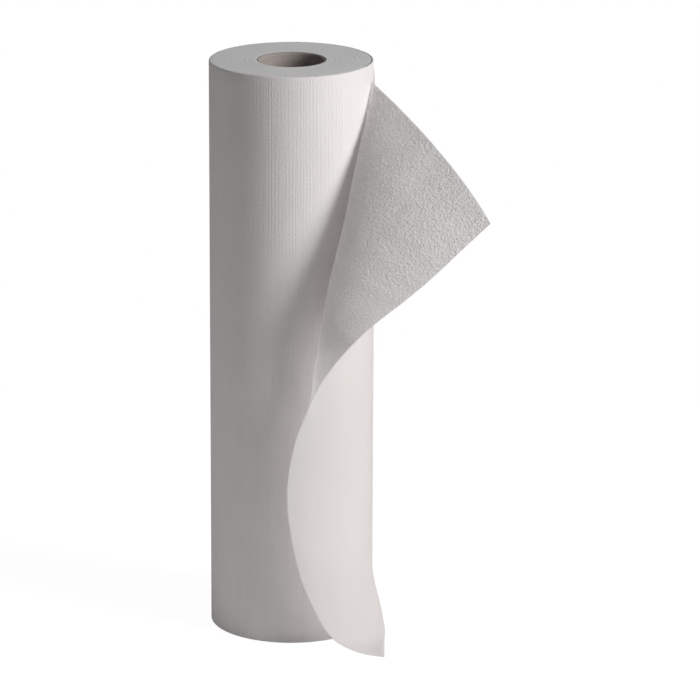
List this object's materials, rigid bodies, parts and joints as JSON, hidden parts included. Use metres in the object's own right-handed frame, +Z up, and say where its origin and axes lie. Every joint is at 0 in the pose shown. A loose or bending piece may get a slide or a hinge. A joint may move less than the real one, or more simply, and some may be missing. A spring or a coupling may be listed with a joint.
{
  "type": "exam table paper roll",
  "caption": "Standing roll of white embossed crepe paper on a cardboard core, its loose end wrapped round the front with the top corner peeled open.",
  "frame": {"origin": "on the roll's axis at the lower end face of the paper, on the floor", "axes": "+Z up along the roll's axis, -Y towards the front of the roll, +X towards the side that the loose end is peeled to"},
  "size_m": [0.2371, 0.1865, 0.5],
  "materials": {
    "cardboard": "matte",
    "paper": "matte, embossed"
  },
  "bodies": {
    "root": {"core_tube": "cardboard", "paper_roll": "paper"}
  },
  "joints": []
}
